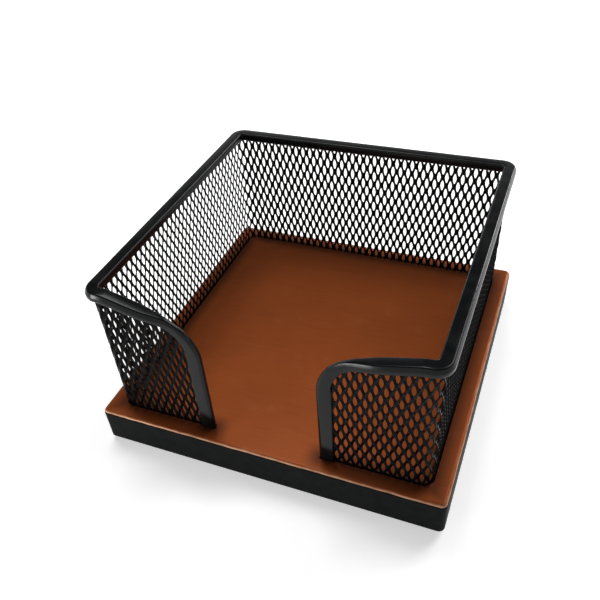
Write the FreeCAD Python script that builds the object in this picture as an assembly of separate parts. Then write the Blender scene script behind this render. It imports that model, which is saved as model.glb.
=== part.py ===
import FreeCAD, Part
import math
import os

from FreeCAD import Vector

# Desk holder for a square block of memo paper: a notched fence of expanded metal, trimmed with
# a folded channel, standing in a groove of a wooden board. Millimetres, +Z up, front towards -Y.
# The origin is under the middle of the board, on the surface that the pads stand on.

# Paper block, and the room around it inside the fence
memo_width = 90.0
memo_clearance = 2.7

# Board
board_thickness = 12.0
board_margin = 3.5
board_corner_radius = 1.8
board_top_round = 1.2
board_bottom_bevel = 0.5

# Foot pads
pad_diameter = 12.0
pad_thickness = 1.5
pad_inset = 13.0

# Fence of expanded metal. Its openings are about twice as coarse as the real sheet's.
fence_height = 45.0
sheet_thickness = 0.6
opening_pitch_along = 5.4
opening_pitch_up = 10.6
strand_width = 1.3

# Folded channel that trims the fence
rim_thickness = 4.0
rim_height = 2.8
rim_wall = 0.4
rim_bevel = 0.9
rim_inner_radius = 0.8

# Notch in the front, where the channel turns down to the board and is pressed flat on the sheet.
# The pressing begins pinch_length before the flat stretch, which is flat_stretch wide.
notch_width = 33.0
notch_flange = 4.3
notch_radius = 14.0
shoulder_radius = 12.0
slope_angle = math.radians(14.5)
flat_stretch = 6.0
pinch_length = 11.5

# Seats and clearances
groove_depth = 3.0
foot_depth = 2.0
groove_gap = 0.2
fit_gap = 0.1
overrun = 5.0
least_bevel = 0.05
parallel_bevel_share = 2 - math.sqrt(2)
tolerance = 0.001

# Levels and half sizes that follow from the values above
board_bottom = pad_thickness
board_top = board_bottom + board_thickness
crest = board_top + fence_height
groove_floor = board_top - groove_depth
rim_foot = board_top - foot_depth
bend_radius = rim_inner_radius + rim_thickness / 2
fence_half = memo_width / 2 + memo_clearance + sheet_thickness / 2
flat_half = fence_half - bend_radius
rim_half = fence_half + rim_thickness / 2
board_half = rim_half + board_margin
far = board_half + overrun
notch_half = notch_width / 2
flange_thickness = sheet_thickness + 2 * fit_gap + 2 * rim_wall


def square_prism(half, radius, low, high):
    """Upright square block with round corners."""
    block = Part.makeBox(2 * half, 2 * half, high - low, Vector(-half, -half, low))
    upright = [edge for edge in block.Edges if edge.BoundBox.ZLength > tolerance]
    return block.makeFillet(radius, upright)


def prism(outline, direction):
    """Solid pushed out of a closed wire."""
    return Part.Face(outline).extrude(direction)


def arc(centre, radius, start, end):
    """Arc in the front plane, with its angles counted from +X towards +Z."""
    def at(angle):
        return centre + Vector(math.cos(angle), 0, math.sin(angle)) * radius

    return Part.Arc(at(start), at((start + end) / 2), at(end)).toShape()


def line(start, end):
    return Part.LineSegment(start, end).toShape()


def front_edge(depth, side_depth, foot):
    """Edges of a line that follows the crest, the right shoulder and the notch down to foot.

    The line runs at depth below the crest, and at side_depth in from the notch.
    """
    upright = math.pi / 2
    leaning = upright + slope_angle
    lean = Vector(math.cos(leaning), 0, math.sin(leaning))
    shoulder = Vector(flat_half, 0, crest - shoulder_radius)
    slope_start = shoulder + lean * shoulder_radius
    slope_end_x = notch_half + notch_radius * (1 + lean.x)
    fall = (slope_start.x - slope_end_x) * math.tan(slope_angle)
    centre_z = slope_start.z - fall - notch_radius * lean.z
    rise = (side_depth - depth) / math.cos(slope_angle)
    centre = Vector(notch_half + notch_radius, 0, centre_z + rise)

    bend = arc(shoulder, shoulder_radius - depth, upright, leaning)
    turn = arc(centre, notch_radius - side_depth, leaning, math.pi)
    slope = line(bend.lastVertex().Point, turn.firstVertex().Point)
    side_top = turn.lastVertex().Point
    side = line(side_top, Vector(side_top.x, 0, foot))
    return [bend, slope, turn, side]


def joined(edges):
    """Closed wire through edges that are already in order, with its gaps bridged by lines."""
    chain = []
    for edge, following in zip(edges, edges[1:] + edges[:1]):
        chain.append(edge)
        end = edge.lastVertex(True).Point
        start = following.firstVertex(True).Point
        if end.distanceToPoint(start) > tolerance:
            chain.append(line(end, start))
    return Part.Wire(chain)


def both_sides(shape):
    """A shape of the right front side, with its mirror image on the left."""
    return [shape, shape.mirror(Vector(0, 0, 0), Vector(1, 0, 0))]


def front_panel_region(depth, low):
    """Thick slab over the right front panel, bounded by the notch and by the sloping crest."""
    edges = front_edge(depth, depth, low)
    outer_low = Vector(far, 0, low)
    outer_high = Vector(far, 0, crest - depth)
    edges += [line(Vector(notch_half + depth, 0, low), outer_low), line(outer_low, outer_high)]
    slab = prism(joined(edges), Vector(0, far, 0))
    slab.translate(Vector(0, -far, 0))
    return slab


def fence_sheet(thickness, depth, low):
    """Sheet bent round the fence's line, its free edges at depth inside the rim's outline."""
    half = thickness / 2
    high = crest - depth
    sheet = square_prism(fence_half + half, bend_radius + half, low, high)
    sheet = sheet.cut(square_prism(fence_half - half, bend_radius - half, low, high))
    front = Part.makeBox(2 * flat_half, far, high - low, Vector(-flat_half, -far, low))
    for slab in both_sides(front_panel_region(depth, low)):
        front = front.cut(slab)
    return sheet.cut(front)


def rim_run(inset):
    """Level part of the rim on three sides, pushed in by inset all round."""
    half = rim_thickness / 2 - inset
    low = crest - rim_height + inset
    high = crest - inset
    run = square_prism(fence_half + half, bend_radius + half, low, high)
    run = run.cut(square_prism(fence_half - half, bend_radius - half, low, high))
    front = Part.makeBox(2 * flat_half, far - flat_half, crest, Vector(-flat_half, -far, 0))
    return run.cut(front)


def bevelled(shape, edges, inset):
    """Shape with the rim's bevel, kept parallel to the outer one on a surface that lies inset below it."""
    leg = rim_bevel - inset * parallel_bevel_share
    if leg < least_bevel:
        return shape
    return shape.makeChamfer(leg, edges)


def bevelled_run(inset):
    """Level part of the rim with its upper edges bevelled, apart from the two cut ends."""
    run = rim_run(inset)
    upper = []
    for edge in run.Edges:
        box = edge.BoundBox
        on_top = box.ZMin > crest - inset - tolerance
        on_cut_end = box.XLength < tolerance and box.YMax < tolerance - flat_half
        if on_top and not on_cut_end:
            upper.append(edge)
    return bevelled(run, upper, inset)


def pinch(inset):
    """Upright slab as thick as the right front channel, which narrows smoothly towards the notch."""
    narrow = flange_thickness / 2 - inset
    wide = rim_thickness / 2 - inset
    start = notch_half + flat_stretch
    end = start + pinch_length
    third = pinch_length / 3
    bend = Part.BezierCurve()
    bend.setPoles([
        Vector(start, narrow, 0), Vector(start + third, narrow, 0),
        Vector(end - third, wide, 0), Vector(end, wide, 0),
    ])
    back = [line(Vector(0, narrow, 0), Vector(start, narrow, 0)), bend.toShape()]
    back.append(line(Vector(end, wide, 0), Vector(far, wide, 0)))
    front = [edge.mirror(Vector(0, 0, 0), Vector(0, 1, 0)).reversed() for edge in reversed(back)]
    slab = prism(joined(back + front), Vector(0, 0, crest + overrun))
    slab.translate(Vector(0, -fence_half, 0))
    return slab


def bevelled_arch(inset, foot):
    """Right front part of the rim, from the shoulder to the notch's foot, with bevelled outer edges."""
    half = rim_thickness / 2 - inset
    outer = front_edge(inset, inset, foot)
    inner = front_edge(rim_height - inset, notch_flange - inset, foot)
    outer_wire = Part.Wire(outer)
    back_edges = [edge.reversed() for edge in reversed(inner)]
    arch = prism(joined(outer + back_edges), Vector(0, 2 * half, 0))
    arch = bevelled(arch, [edge for edge in arch.Edges if follows(edge, outer_wire)], inset)
    arch.translate(Vector(0, -fence_half - half, 0))
    return arch.common(pinch(inset))


def follows(edge, wire):
    """Whether an edge lies along a wire of the front plane, at any depth behind it."""
    if edge.BoundBox.YLength > tolerance:
        return False
    middle = edge.valueAt((edge.FirstParameter + edge.LastParameter) / 2)
    flattened = Part.Vertex(Vector(middle.x, 0, middle.z))
    return flattened.distToShape(wire)[0] < tolerance


def rim_body(inset, foot):
    """Whole rim, from one notch foot over the fence to the other."""
    return bevelled_run(inset).fuse(both_sides(bevelled_arch(inset, foot))).removeSplitter()


def make_rim():
    """Folded channel with a slit that takes the sheet's edge."""
    hollow = rim_body(rim_wall, rim_foot - overrun)
    slit = fence_sheet(sheet_thickness + 2 * fit_gap, rim_wall, rim_foot - overrun)
    return rim_body(0, rim_foot).cut([hollow, slit])


def make_board():
    """Board with the groove for the fence and a mortise for each foot of the rim."""
    board = square_prism(board_half, board_corner_radius, board_bottom, board_top)
    upper = [edge for edge in board.Edges if edge.BoundBox.ZMin > board_top - tolerance]
    board = board.makeFillet(board_top_round, upper)
    lower = [edge for edge in board.Edges if edge.BoundBox.ZMax < board_bottom + tolerance]
    board = board.makeChamfer(board_bottom_bevel, lower)
    groove = fence_sheet(sheet_thickness + 2 * groove_gap, rim_wall, groove_floor)
    mortises = both_sides(bevelled_arch(-fit_gap, rim_foot))
    return board.cut([groove] + mortises)


def make_pad(side_x, side_y):
    """Round pad stuck under one corner of the board."""
    reach = board_half - pad_inset
    return Part.makeCylinder(pad_diameter / 2, pad_thickness, Vector(side_x * reach, side_y * reach, 0))


def wedge(turn):
    """Quarter of the plan, between the lines through two neighbouring corners; turn 0 is the front."""
    corners = [Vector(0, 0, 0), Vector(-far, -far, 0), Vector(far, -far, 0)]
    quarter = prism(Part.makePolygon(corners + corners[:1]), Vector(0, 0, crest + overrun))
    quarter.rotate(Vector(0, 0, 0), Vector(0, 0, 1), turn * math.degrees(math.pi / 2))
    return quarter


def opening_outline(along, up):
    """Diamond of one opening, centred on a point of the front plane."""
    half_along = opening_pitch_along / 2
    half_up = opening_pitch_up / 2
    reach = half_along * half_up / math.hypot(half_along, half_up)
    share = 1 - strand_width / 2 / reach
    points = [
        Vector(along + half_along * share, 0, up),
        Vector(along, 0, up + half_up * share),
        Vector(along - half_along * share, 0, up),
        Vector(along, 0, up - half_up * share),
    ]
    return Part.makePolygon(points + points[:1])


def openings(window):
    """Staggered openings that fit whole inside a face of the front plane, as cutting prisms."""
    box = window.BoundBox
    columns = int(box.XLength / opening_pitch_along) + 1
    rows = int(2 * box.ZLength / opening_pitch_up) + 1
    prisms = []
    for row in range(-rows, rows + 1):
        stagger = opening_pitch_along / 2 * (row % 2)
        for column in range(-columns, columns + 1):
            along = box.Center.x + column * opening_pitch_along + stagger
            up = box.Center.z + row * opening_pitch_up / 2
            outline = opening_outline(along, up)
            if all(window.isInside(vertex.Point, tolerance, True) for vertex in outline.Vertexes):
                prisms.append(prism(outline, Vector(0, -far, 0)))
    return Part.makeCompound(prisms)


def side_window():
    """Face of a whole side of the fence that shows between the board, the rim and two bends."""
    low = board_top + strand_width
    high = crest - rim_height - strand_width
    corners = [
        Vector(-flat_half, 0, low), Vector(flat_half, 0, low),
        Vector(flat_half, 0, high), Vector(-flat_half, 0, high),
    ]
    return Part.Face(Part.makePolygon(corners + corners[:1]))


def front_window():
    """Face of the right front panel that shows between the board, the bend and the rim."""
    low = board_top + strand_width
    edges = front_edge(rim_height + strand_width, notch_flange + strand_width, low)
    return Part.Face(joined(edges + [line(edges[-1].lastVertex().Point, Vector(flat_half, 0, low))]))


def make_walls():
    """The bent sheet as five walls that meet on the middle of its bends."""
    sheet = fence_sheet(sheet_thickness, rim_wall + fit_gap, groove_floor)
    side_openings = openings(side_window())
    walls = {}
    for turn, name in enumerate(("right", "back", "left"), 1):
        cutters = side_openings.copy()
        cutters.rotate(Vector(0, 0, 0), Vector(0, 0, 1), turn * math.degrees(math.pi / 2))
        walls["mesh_" + name] = sheet.common(wedge(turn)).cut(cutters)
    front = sheet.common(wedge(0))
    front = front.cut(both_sides(openings(front_window())))
    for wall in front.Solids:
        name = "mesh_front_right" if wall.CenterOfMass.x > 0 else "mesh_front_left"
        walls[name] = wall
    return walls


def make_parts():
    parts = {"base_board": make_board(), "top_rim": make_rim()}
    parts.update(make_walls())
    for end, side_y in (("front", -1), ("back", 1)):
        for hand, side_x in (("left", -1), ("right", 1)):
            parts[f"foot_pad_{end}_{hand}"] = make_pad(side_x, side_y)
    return parts


os.makedirs("parts", exist_ok=True)
for node, shape in make_parts().items():
    shape.exportStep(f"parts/{node}.step")
    print(node, len(shape.Solids), "solid", shape.isValid(), round(shape.Volume, 1), "mm3")
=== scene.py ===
import math

import bmesh
import bpy
from mathutils import Matrix, Vector


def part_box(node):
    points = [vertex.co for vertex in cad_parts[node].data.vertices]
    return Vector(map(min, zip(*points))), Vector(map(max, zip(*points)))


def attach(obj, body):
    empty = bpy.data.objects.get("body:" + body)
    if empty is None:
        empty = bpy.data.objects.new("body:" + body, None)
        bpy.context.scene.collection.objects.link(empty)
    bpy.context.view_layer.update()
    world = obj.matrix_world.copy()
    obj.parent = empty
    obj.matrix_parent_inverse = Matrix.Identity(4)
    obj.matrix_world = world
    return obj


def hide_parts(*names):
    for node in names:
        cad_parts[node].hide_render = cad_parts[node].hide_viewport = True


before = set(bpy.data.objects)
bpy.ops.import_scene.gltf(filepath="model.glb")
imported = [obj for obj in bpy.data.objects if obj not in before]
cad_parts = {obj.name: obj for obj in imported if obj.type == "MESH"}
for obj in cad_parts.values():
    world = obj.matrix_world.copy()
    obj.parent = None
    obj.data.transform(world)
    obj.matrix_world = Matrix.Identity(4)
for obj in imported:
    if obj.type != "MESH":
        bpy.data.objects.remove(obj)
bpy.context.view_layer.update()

# Desk holder for a square block of memo paper, in metres, +Z up and its front towards -Y.
# The fence and the rim are made here with their fine forms. The board and the pads are the solids.

# Sizes read from the frame
board_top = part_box("base_board")[1].z
rim_low, rim_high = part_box("top_rim")
wall_low, wall_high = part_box("mesh_back")
crest = rim_high.z
rim_half = rim_high.x
rim_foot = rim_low.z
groove_floor = wall_low.z

# Fence: one sheet of expanded metal with slanted strands, whose rows of openings climb on the right
sheet_thickness = 0.0006
strand_thickness = 0.00037
strand_tilt = 0.00026
twist_share = 0.62
pitch_along = 0.00264
pitch_up = 0.0059
opening_width_share = 0.525
opening_height_share = 0.675
opening_roundness = 1.5
row_level = 0.0218
row_rise_share = 0.01
column_shift = 0.0004
opening_steps = 3
notch_cuts = 6
merge_distance = 1e-7

# Folded channel, whose outer side leans in above a low round edge
rim_height = 0.0028
rim_wall = 0.0004
face_lean = math.radians(26)
face_length = 0.0009
face_low_round = 0.0005
face_high_round = 0.0006
face_share = 0.85
bore_share = 0.72
inner_round = 0.0005
rim_lower_round = 0.0008
rim_slit = 0.0012
slit_share = 0.85
rim_inner_radius = 0.0008
round_steps = 6
bend_steps = 10
sharp_angle = math.radians(40)

# Notch in the front, towards which the channel is pressed flat
notch_half = 0.0165
notch_flange = 0.0043
flange_thickness = 0.0016
flat_stretch = 0.006
pinch_length = 0.0115
notch_radius = 0.014
shoulder_radius = 0.012
slope_angle = math.radians(14.5)
shoulder_steps = 4
slope_steps = 8
notch_steps = 24

# Bands of the board's finish below its top: black sides, an arris that is partly rubbed pale and partly a
# painted highlight, lacquer
arris_low = 0.0007
arris_middle = 0.0005
arris_high = 0.00003
arris_wobble = 0.00008
arris_wear_and_highlight_share = 0.95

# Painted shade: lacquer darkened along the foot of the fence, where the fence shades the board
painted_shade_width = 0.0055
painted_shade_share = 0.8

# Colours of the finishes, each from its dark to its light shade
lacquer_colours = ((0.235, 0.0545, 0.0125), (0.29, 0.068, 0.016))
streak_colours = ((0.13, 0.030, 0.007), (0.15, 0.036, 0.009))
# Painted shade along the fence's foot
painted_shade_colours = ((0.03, 0.009, 0.004), (0.04, 0.012, 0.005))
side_colours = ((0.005, 0.0055, 0.006), (0.009, 0.0095, 0.010))
# Pale arris colour: partly rubbed wear, partly a painted highlight
rubbed_and_highlight_colours = ((0.55, 0.27, 0.15), (0.8, 0.46, 0.28))
rim_colours = ((0.004, 0.0045, 0.005), (0.008, 0.0085, 0.009))
mesh_colours = ((0.004, 0.004, 0.004), (0.007, 0.007, 0.007))
rubber_colours = ((0.018, 0.018, 0.018), (0.04, 0.04, 0.04))

# Textures, in waves to the metre, and the depth of their relief
cloud_waves = 28
grain_waves = 900
grain_stretch_shares = (0.12, 1, 1)
patch_waves = 400
wobble_waves = 150
lacquer_waves = 1600
lacquer_relief = 0.0002
coat_waves = 220
peel_waves = 2400
peel_relief = 0.0001
foam_waves = 2500
foam_relief = 0.0003

# Floor, whose far part is as white as the walls
floor_half = 4
floor_near = 0.3
floor_far = 0.8
floor_glow = 0.5

# Studio: light of the walls and the ceiling, and the heights on a unit sphere between which it changes
wall_light = 0.25
ceiling_light = 0.05
wall_top_share = 0.3
ceiling_share = 0.55

# Lamps: azimuth and elevation in degrees, distance, width and height in metres, power in watts
lamps = {
    "key": (150, 50, 0.9, 0.4, 0.4, 2.7),
    "top": (228, 69, 0.9, 0.4, 0.4, 3.7),
    "edge": (152, 24, 0.9, 0.25, 0.15, 2),
    "window": (320, 7, 0.8, 0.24, 0.16, 2.6),
}

# Camera at the photograph's place, solved from the object's straight edges: angles in degrees
camera_azimuth = 25.49
camera_elevation = 42.55
camera_roll = -5.34
camera_distance = 0.2256
camera_target = Vector((-0.0096, -0.0059, board_top))
camera_clip = 0.01
sensor_millimetres = 36
lens_millimetres = 40.3
shift_shares = (0.0167, 0.0667)

# What follows from the sizes above
upright = math.pi / 2
fence_half = wall_high.y - sheet_thickness / 2
rim_thickness = 2 * (rim_half - fence_half)
bend_radius = rim_inner_radius + rim_thickness / 2
flat_half = fence_half - bend_radius
bend_length = bend_radius * upright
front_bend = 3 * flat_half + bend_length
front_start = front_bend + bend_length
face_reach = (
    face_low_round * (1 - math.cos(face_lean))
    + face_high_round * math.cos(face_lean)
    + face_length * math.sin(face_lean)
)


def heading(angle):
    """Unit vector in a plane."""
    return Vector((math.cos(angle), math.sin(angle)))


# Outline of the right front panel: a shoulder's arc, a slope and the arc of the notch's corner
leaning = upright + slope_angle
lean = heading(leaning)
shoulder_centre = Vector((flat_half, crest - shoulder_radius))
slope_start = shoulder_centre + lean * shoulder_radius
slope_end_x = notch_half + notch_radius * (1 + lean.x)
slope_fall = (slope_start.x - slope_end_x) * math.tan(slope_angle)
notch_centre = Vector((notch_half + notch_radius, slope_start.y - slope_fall - notch_radius * lean.y))


# Fence line

def on_bend(centre, normal):
    """Point and outward normal in plan, on a bend round a centre."""
    return (centre[0] + bend_radius * normal[0], centre[1] + bend_radius * normal[1]), normal


def fence_plan(along):
    """Point and outward normal in plan, at a distance along the fence from the middle of the back."""
    side = math.copysign(1, along)
    rest = abs(along)
    if rest < flat_half:
        return (side * rest, fence_half), (0, 1)
    rest -= flat_half
    if rest < bend_length:
        turn = rest / bend_radius
        return on_bend((side * flat_half, flat_half), (side * math.sin(turn), math.cos(turn)))
    rest -= bend_length
    if rest < 2 * flat_half:
        return (side * fence_half, flat_half - rest), (side, 0)
    rest -= 2 * flat_half
    if rest < bend_length:
        turn = rest / bend_radius
        return on_bend((side * flat_half, -flat_half), (side * math.cos(turn), -math.sin(turn)))
    rest -= bend_length
    return (side * (flat_half - rest), -fence_half), (0, -1)


def along_at(front_x):
    """Distance along the fence of a point on the right front panel."""
    return front_start + flat_half - front_x


# Expanded metal

def add_mesh(name, bm):
    """Object made of a bmesh, which is freed."""
    mesh = bpy.data.meshes.new(name)
    bm.to_mesh(mesh)
    bm.free()
    obj = bpy.data.objects.new(name, mesh)
    bpy.context.scene.collection.objects.link(obj)
    return obj


def opening_edge(side, level, share):
    """Point on one quarter of an opening's edge, from its tip to its waist, and its way out of the sheet."""
    angle = upright * (1 - share)
    power = 2 / opening_roundness
    across_share = abs(math.cos(angle)) ** power
    up_share = abs(math.sin(angle)) ** power
    x = side * across_share * opening_width_share * pitch_along / 2
    z = level * up_share * opening_height_share * pitch_up / 2
    return x, z, -side * strand_tilt * across_share ** twist_share


def expanded_sheet(bm, low, high, reach):
    """Flat expanded sheet in the XZ plane: X along the fence, Z up, Y out of the sheet."""
    half_along = pitch_along / 2
    half_up = pitch_up / 2
    shared = {}

    def vertex(x, z, out):
        """Vertex that neighbouring strands share."""
        key = (round(x / merge_distance), round(z / merge_distance))
        if key not in shared:
            shared[key] = bm.verts.new((x, out, z + row_rise_share * max(0, x)))
        return shared[key]

    def quarter(x, z, side, level):
        """Strands between one quarter of an opening and the middle lines of its neighbours."""
        border = []
        edge = []
        for step in range(opening_steps + 1):
            share = step / opening_steps
            border.append(vertex(x + side * half_along * share, z + level * half_up * (1 - share), 0))
            edge_x, edge_z, out = opening_edge(side, level, share)
            edge.append(vertex(x + edge_x, z + edge_z, out))
        for step in range(opening_steps):
            bm.faces.new((border[step], border[step + 1], edge[step + 1], edge[step]))

    most_rise = row_rise_share * reach
    first_row = math.floor((low - most_rise - board_top - row_level) / half_up) - 1
    last_row = math.ceil((high - board_top - row_level) / half_up) + 1
    last_column = math.ceil(reach / half_along) + 2
    for row in range(first_row, last_row + 1):
        for column in range(-last_column, last_column + 1):
            if (column + row) % 2:
                continue
            x = column_shift + column * half_along
            z = board_top + row_level + row * half_up
            for side in (-1, 1):
                for level in (-1, 1):
                    quarter(x, z, side, level)


def trim(bm, point, outward):
    """Cuts the flat sheet along a line and drops what lies beyond it."""
    geometry = bm.verts[:] + bm.edges[:] + bm.faces[:]
    bmesh.ops.bisect_plane(
        bm, geom=geometry, dist=merge_distance, plane_co=point, plane_no=outward, clear_outer=True
    )


def trim_front(bm, side, depth):
    """Trims the sheet to the slope, the notch's round corner and its upright edge, on one side."""
    for step in range(notch_cuts + 1):
        out = heading(leaning + (math.pi - leaning) * step / notch_cuts)
        edge = notch_centre + out * (notch_radius - depth)
        trim(bm, (side * along_at(edge.x), 0, edge.y), (side * -out.x, 0, out.y))


def make_mesh_fence():
    """The bent strip of expanded metal, from one side of the notch round the back to the other."""
    edge_depth = rim_wall + strand_thickness
    low = groove_floor
    high = crest - edge_depth
    bm = bmesh.new()
    expanded_sheet(bm, low, high, along_at(notch_half + edge_depth))
    trim(bm, (0, 0, low), (0, 0, -1))
    trim(bm, (0, 0, high), (0, 0, 1))
    for side in (-1, 1):
        trim_front(bm, side, edge_depth)
    for vert in bm.verts:
        along, out, up = vert.co
        point, normal = fence_plan(along)
        vert.co = (point[0] + normal[0] * out, point[1] + normal[1] * out, up)
    bmesh.ops.recalc_face_normals(bm, faces=bm.faces)
    fence = add_mesh("expanded_metal_fence", bm)
    solidify = fence.modifiers.new("strands", "SOLIDIFY")
    solidify.thickness = strand_thickness
    solidify.offset = 0
    return fence


# Folded rim

def round_corner(centre, radii, start, end):
    """Points of an elliptic arc in the section's plane."""
    angles = [start + (end - start) * step / round_steps for step in range(round_steps + 1)]
    return [(centre[0] + radii[0] * math.cos(a), centre[1] + radii[1] * math.sin(a)) for a in angles]


def channel_side(half, depth, crown, lower):
    """One side of a channel's outline, from its foot up to its round shoulder."""
    foot = round_corner((half - lower, depth - lower), (lower, lower), upright, 0)
    return foot + round_corner((half - crown[0], crown[1]), crown, 0, -upright)


def leaning_side(half, depth, share, lower):
    """Outer side of the channel: round foot, upright stretch, leaning face and round shoulder."""
    low_round = face_low_round * share
    high_round = face_high_round * share
    length = face_length * share
    across = math.sin(face_lean)
    up = math.cos(face_lean)
    shoulder = half - low_round * (1 - up) - high_round * up - length * across
    drop = high_round * (1 - across) + length * up + low_round * across
    foot = round_corner((half - lower, depth - lower), (lower, lower), upright, 0)
    edge = round_corner((half - low_round, drop), (low_round, low_round), 0, -face_lean)
    return foot + edge + round_corner((shoulder, high_round), (high_round, high_round), -face_lean, -upright)


def over_the_top(outer, inner):
    """Outline of a channel, from its outer foot over the top to its inner foot."""
    return outer + [(-across, down) for across, down in reversed(inner)]


def channel_section(depth, thickness):
    """Closed section of the channel: first value across the sheet, second down from the outer line."""
    half = thickness / 2
    inner_half = half - rim_wall
    slit_half = min(rim_slit / 2, inner_half * slit_share)
    lower = min(rim_lower_round, half / 2)
    inner_crown = (min(inner_round, half / 2), inner_round)
    outer_side = leaning_side(half, depth, min(1, half * face_share / face_reach), lower)
    outside = over_the_top(outer_side, channel_side(half, depth, inner_crown, lower))
    bore_round = inner_half / 4
    bore_depth = depth - 2 * rim_wall
    bore_outer = channel_side(inner_half, bore_depth, (inner_half / 2, inner_half * bore_share), bore_round)
    bore_inner = channel_side(inner_half, bore_depth, (bore_round, bore_round), bore_round)
    inside = [(across, down + rim_wall) for across, down in over_the_top(bore_outer, bore_inner)]
    lips = [(-slit_half, depth), (-slit_half, depth - rim_wall)]
    return [(slit_half, depth)] + outside + lips + inside[::-1] + [(slit_half, depth - rim_wall)]


def pinched(front_x):
    """Thickness of the channel, which is pressed flat towards the notch."""
    share = (front_x - notch_half - flat_stretch) / pinch_length
    share = min(1, max(0, share))
    return flange_thickness + (rim_thickness - flange_thickness) * share * share * (3 - 2 * share)


def front_stations():
    """Stations of the right front stretch: point on the outer line, inward direction, depth, thickness."""
    stations = []
    for step in range(shoulder_steps + 1):
        out = heading(upright + slope_angle * step / shoulder_steps)
        stations.append((shoulder_centre + out * shoulder_radius, -out, rim_height))
    slope_end = notch_centre + lean * notch_radius
    for step in range(1, slope_steps):
        stations.append((slope_start.lerp(slope_end, step / slope_steps), -lean, rim_height))
    for step in range(notch_steps + 1):
        out = heading(leaning + (math.pi - leaning) * step / notch_steps)
        depth = notch_flange - (notch_flange - rim_height) * out.y / lean.y
        stations.append((notch_centre + out * notch_radius, -out, depth))
    stations.append((Vector((notch_half, rim_foot)), Vector((1, 0)), notch_flange))
    return [(point, inward, depth, pinched(point.x)) for point, inward, depth in stations]


def rim_rings():
    """Sections of the rim's right half, from the middle of the back to the notch's foot."""
    alongs = [0, flat_half]
    alongs += [flat_half + bend_length * step / bend_steps for step in range(1, bend_steps + 1)]
    alongs += [front_bend + bend_length * step / bend_steps for step in range(bend_steps)]
    rings = []
    for along in alongs:
        point, normal = fence_plan(along)
        ring = []
        for across, down in channel_section(rim_height, rim_thickness):
            ring.append((point[0] + normal[0] * across, point[1] + normal[1] * across, crest - down))
        rings.append(ring)
    for point, inward, depth, thickness in front_stations():
        ring = []
        for across, down in channel_section(depth, thickness):
            place = point + inward * down
            ring.append((place.x, -fence_half - across, place.y))
        rings.append(ring)
    return rings


def make_rim():
    """Folded channel over the fence's edge, open below where the sheet goes in."""
    right = rim_rings()
    left = [[(-x, y, z) for x, y, z in ring] for ring in right[:0:-1]]
    bm = bmesh.new()
    rings = [[bm.verts.new(place) for place in ring] for ring in left + right]
    count = len(rings[0])
    for ring, following in zip(rings, rings[1:]):
        for index in range(count):
            after = (index + 1) % count
            bm.faces.new((ring[index], ring[after], following[after], following[index]))
    bm.faces.new(rings[0])
    bm.faces.new(rings[-1][::-1])
    bmesh.ops.recalc_face_normals(bm, faces=bm.faces)
    for face in bm.faces:
        face.smooth = True
    rim = add_mesh("folded_rim", bm)
    rim.data.set_sharp_from_angle(angle=sharp_angle)
    return rim


# Steps of a material

def new_material(name):
    """Material, its node tree and its shader."""
    material = bpy.data.materials.new(name)
    material.use_nodes = True
    tree = material.node_tree
    return material, tree, tree.nodes["Principled BSDF"]


def axes_of(tree, kind):
    """X, Y and Z of a kind of texture coordinate."""
    place = tree.nodes.new("ShaderNodeTexCoord")
    axes = tree.nodes.new("ShaderNodeSeparateXYZ")
    tree.links.new(place.outputs[kind], axes.inputs["Vector"])
    return axes.outputs


def noise(tree, waves, detail, stretch=(1, 1, 1)):
    """Noise over the object's own coordinates, in metres."""
    place = tree.nodes.new("ShaderNodeTexCoord")
    mapping = tree.nodes.new("ShaderNodeMapping")
    mapping.inputs["Scale"].default_value = stretch
    texture = tree.nodes.new("ShaderNodeTexNoise")
    texture.inputs["Scale"].default_value = waves
    texture.inputs["Detail"].default_value = detail
    tree.links.new(place.outputs["Object"], mapping.inputs["Vector"])
    tree.links.new(mapping.outputs["Vector"], texture.inputs["Vector"])
    return texture.outputs["Fac"]


def ramp(tree, value, low, high, colours):
    """Two colours blended over a range of a value."""
    blend = tree.nodes.new("ShaderNodeValToRGB")
    for element, position, colour in zip(blend.color_ramp.elements, (low, high), colours):
        element.position = position
        element.color = (*colour, 1)
    tree.links.new(value, blend.inputs["Fac"])
    return blend.outputs["Color"]


def spread(tree, value, low, high, to_low, to_high):
    """A value moved smoothly from one range to another."""
    remap = tree.nodes.new("ShaderNodeMapRange")
    remap.interpolation_type = "SMOOTHSTEP"
    remap.inputs["From Min"].default_value = low
    remap.inputs["From Max"].default_value = high
    remap.inputs["To Min"].default_value = to_low
    remap.inputs["To Max"].default_value = to_high
    tree.links.new(value, remap.inputs["Value"])
    return remap.outputs["Result"]


def mixed(tree, share, first, second):
    """Two colours mixed by a share."""
    mix = tree.nodes.new("ShaderNodeMix")
    mix.data_type = "RGBA"
    tree.links.new(share, mix.inputs["Factor"])
    tree.links.new(first, mix.inputs["A"])
    tree.links.new(second, mix.inputs["B"])
    return mix.outputs["Result"]


def maths(tree, operation, *values):
    """One step of arithmetic on sockets and numbers."""
    step = tree.nodes.new("ShaderNodeMath")
    step.operation = operation
    for socket, value in zip(step.inputs, values):
        if isinstance(value, (int, float)):
            socket.default_value = value
        else:
            tree.links.new(value, socket)
    return step.outputs["Value"]


def bump(tree, shader, height, strength, distance):
    """Fine relief of a surface."""
    relief = tree.nodes.new("ShaderNodeBump")
    relief.inputs["Strength"].default_value = strength
    relief.inputs["Distance"].default_value = distance
    tree.links.new(height, relief.inputs["Height"])
    tree.links.new(relief.outputs["Normal"], shader.inputs["Normal"])


def background_rays(tree):
    """1 for the rays that show the background: those of the camera, of reflections and through glass."""
    seen = tree.nodes.new("ShaderNodeLightPath").outputs
    mirrored = maths(tree, "MAXIMUM", seen["Is Glossy Ray"], seen["Is Transmission Ray"])
    return maths(tree, "MAXIMUM", seen["Is Camera Ray"], mirrored)


# Materials

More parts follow.
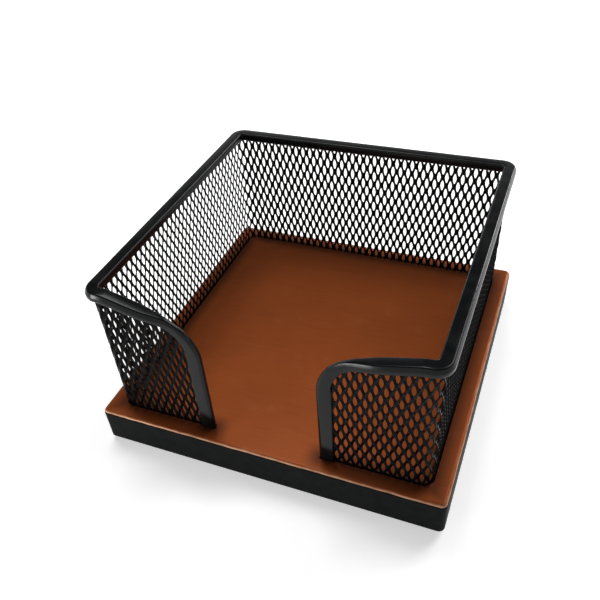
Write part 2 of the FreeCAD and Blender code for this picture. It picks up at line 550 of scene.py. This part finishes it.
def painted_shade_along_fence(tree, axes):
    """Share of painted shade along the fence's foot, which darkens the lacquer there but not across the
    notch.
    """
    sideways = maths(tree, "ABSOLUTE", axes["X"])
    lengthways = maths(tree, "ABSOLUTE", axes["Y"])
    reach = maths(tree, "MAXIMUM", sideways, lengthways)
    away = maths(tree, "ABSOLUTE", maths(tree, "SUBTRACT", reach, fence_half))
    near = spread(tree, away, 0, painted_shade_width, painted_shade_share, 0)
    beside_notch = spread(tree, sideways, notch_half - painted_shade_width, notch_half, 0, 1)
    behind_front = spread(tree, axes["Y"], -flat_half, 0, 0, 1)
    return maths(tree, "MULTIPLY", near, maths(tree, "MAXIMUM", beside_notch, behind_front))


def lacquered_wood():
    """Red-brown satin lacquer on the top, with painted shade along the fence's foot, a pale arris that is
    partly rubbed wear and partly a painted highlight, and black on the sides.
    """
    material, tree, shader = new_material("lacquered_wood")
    axes = axes_of(tree, "Object")
    clouds = noise(tree, cloud_waves, 3)
    grain = noise(tree, grain_waves, 4, grain_stretch_shares)
    patches = noise(tree, patch_waves, 2)
    lacquer = ramp(tree, clouds, 0.3, 0.75, lacquer_colours)
    streaks = ramp(tree, clouds, 0.3, 0.75, streak_colours)
    painted_shade = ramp(tree, clouds, 0.3, 0.75, painted_shade_colours)
    black = ramp(tree, patches, 0.3, 0.7, side_colours)
    rubbed_and_highlight = ramp(tree, patches, 0.3, 0.7, rubbed_and_highlight_colours)
    wobble = spread(tree, noise(tree, wobble_waves, 2), 0.2, 0.8, -arris_wobble, arris_wobble)
    level = maths(tree, "ADD", axes["Z"], wobble)
    side_share = spread(tree, level, board_top - arris_low, board_top - arris_middle, 1, 0)
    # Pale band along the arris: partly rubbed wear, partly a painted highlight
    wear_and_highlight_share = spread(tree, level, board_top - arris_middle, board_top - arris_high, arris_wear_and_highlight_share, 0)
    brown = mixed(tree, spread(tree, grain, 0.45, 0.8, 0, 0.22), lacquer, streaks)
    # Painted shade: the lacquer is darkened along the fence's foot
    shaded = mixed(tree, painted_shade_along_fence(tree, axes), brown, painted_shade)
    worn_and_highlit = mixed(tree, wear_and_highlight_share, shaded, rubbed_and_highlight)
    tree.links.new(mixed(tree, side_share, worn_and_highlit, black), shader.inputs["Base Color"])
    tree.links.new(spread(tree, side_share, 0, 1, 0.42, 0.5), shader.inputs["Roughness"])
    tree.links.new(spread(tree, side_share, 0, 1, 0.25, 0), shader.inputs["Metallic"])
    tree.links.new(spread(tree, side_share, 0, 1, 0.06, 0), shader.inputs["Coat Weight"])
    shader.inputs["Coat Roughness"].default_value = 0.22
    shader.inputs["Specular IOR Level"].default_value = 0.03
    bump(tree, shader, noise(tree, lacquer_waves, 3), 0.06, lacquer_relief)
    return material


def satin_black(name, colours, low_roughness, high_roughness, specular):
    """Black powder coat with a fine orange peel."""
    material, tree, shader = new_material(name)
    patches = noise(tree, coat_waves, 3)
    roughness = spread(tree, patches, 0.3, 0.7, low_roughness, high_roughness)
    tree.links.new(ramp(tree, patches, 0.3, 0.7, colours), shader.inputs["Base Color"])
    tree.links.new(roughness, shader.inputs["Roughness"])
    shader.inputs["Specular IOR Level"].default_value = specular
    bump(tree, shader, noise(tree, peel_waves, 2), 0.08, peel_relief)
    return material


def pad_rubber():
    """Dark foam rubber of the foot pads."""
    material, tree, shader = new_material("pad_rubber")
    cells = noise(tree, foam_waves, 3)
    tree.links.new(ramp(tree, cells, 0.3, 0.7, rubber_colours), shader.inputs["Base Color"])
    tree.links.new(spread(tree, cells, 0.2, 0.8, 0.7, 0.9), shader.inputs["Roughness"])
    bump(tree, shader, cells, 0.3, foam_relief)
    return material


def paint(obj, material):
    """Gives an object one material."""
    obj.data.materials.clear()
    obj.data.materials.append(material)


# Studio

def add_floor():
    """Pale floor that looks white to the camera and keeps the object's shadow."""
    bm = bmesh.new()
    bmesh.ops.create_grid(bm, x_segments=1, y_segments=1, size=floor_half)
    floor = add_mesh("floor", bm)
    material, tree, shader = new_material("floor")
    shader.inputs["Base Color"].default_value = (0.9, 0.9, 0.9, 1)
    shader.inputs["Roughness"].default_value = 0.9
    shader.inputs["Specular IOR Level"].default_value = 0
    shader.inputs["Emission Color"].default_value = (1, 1, 1, 1)
    place = tree.nodes.new("ShaderNodeTexCoord")
    away = tree.nodes.new("ShaderNodeVectorMath")
    away.operation = "LENGTH"
    tree.links.new(place.outputs["Object"], away.inputs[0])
    white = spread(tree, away.outputs["Value"], floor_near, floor_far, floor_glow, 1)
    glow = maths(tree, "MULTIPLY", background_rays(tree), white)
    tree.links.new(glow, shader.inputs["Emission Strength"])
    paint(floor, material)


def add_world():
    """Studio walls that are pale up to a low height, under a dark ceiling; white behind the object."""
    world = bpy.data.worlds.new("studio")
    world.use_nodes = True
    tree = world.node_tree
    height = axes_of(tree, "Generated")["Z"]
    level = spread(tree, height, wall_top_share, ceiling_share, wall_light, ceiling_light)
    wall = spread(tree, height, wall_top_share, ceiling_share, 1, ceiling_light)
    white = maths(tree, "MULTIPLY", background_rays(tree), wall)
    background = tree.nodes["Background"]
    background.inputs["Color"].default_value = (1, 1, 1, 1)
    tree.links.new(maths(tree, "MAXIMUM", level, white), background.inputs["Strength"])
    bpy.context.scene.world = world


def direction(azimuth, elevation):
    """Unit vector away from the object, from degrees: azimuth 0 is in front of it and 90 to its right."""
    turn = math.radians(azimuth)
    rise = math.radians(elevation)
    return Vector((math.sin(turn) * math.cos(rise), -math.cos(turn) * math.cos(rise), math.sin(rise)))


def add_softbox(name, azimuth, elevation, distance, width, height, power):
    """Area lamp that looks at the object."""
    away = direction(azimuth, elevation)
    lamp = bpy.data.lights.new(name, "AREA")
    lamp.shape = "RECTANGLE"
    lamp.size = width
    lamp.size_y = height
    lamp.energy = power
    box = bpy.data.objects.new(name, lamp)
    box.location = away * distance + Vector((0, 0, board_top))
    box.rotation_mode = "QUATERNION"
    box.rotation_quaternion = (-away).to_track_quat("-Z", "Y")
    bpy.context.scene.collection.objects.link(box)


def add_camera():
    """Camera that looks at its target, rolled about its own axis."""
    away = direction(camera_azimuth, camera_elevation)
    level_right = (-away).cross(Vector((0, 0, 1))).normalized()
    level_up = level_right.cross(-away)
    roll = math.radians(camera_roll)
    right = level_right * math.cos(roll) + level_up * math.sin(roll)
    up = level_up * math.cos(roll) - level_right * math.sin(roll)
    data = bpy.data.cameras.new("camera")
    data.sensor_width = sensor_millimetres
    data.lens = lens_millimetres
    data.shift_x, data.shift_y = shift_shares
    data.clip_start = camera_clip
    camera = bpy.data.objects.new("camera", data)
    turned = Matrix((right, up, away)).transposed().to_4x4()
    camera.matrix_world = Matrix.Translation(camera_target + away * camera_distance) @ turned
    bpy.context.scene.collection.objects.link(camera)
    bpy.context.scene.camera = camera


# Scene

wood = lacquered_wood()
rim_paint = satin_black("black_rim", rim_colours, 0.15, 0.2, 0.18)
mesh_paint = satin_black("black_mesh", mesh_colours, 0.1, 0.16, 0.05)
rubber = pad_rubber()

paint(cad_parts["base_board"], wood)
paint(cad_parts["top_rim"], rim_paint)
for name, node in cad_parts.items():
    if name.startswith("foot_pad"):
        paint(node, rubber)
    elif name.startswith("mesh"):
        paint(node, mesh_paint)

fence = make_mesh_fence()
paint(fence, mesh_paint)
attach(fence, "root")
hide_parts(*[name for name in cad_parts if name.startswith("mesh")])

rim = make_rim()
paint(rim, rim_paint)
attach(rim, "root")
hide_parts("top_rim")

add_floor()
add_world()
for name, values in lamps.items():
    add_softbox(name, *values)
add_camera()

bpy.context.scene.view_settings.view_transform = "Standard"
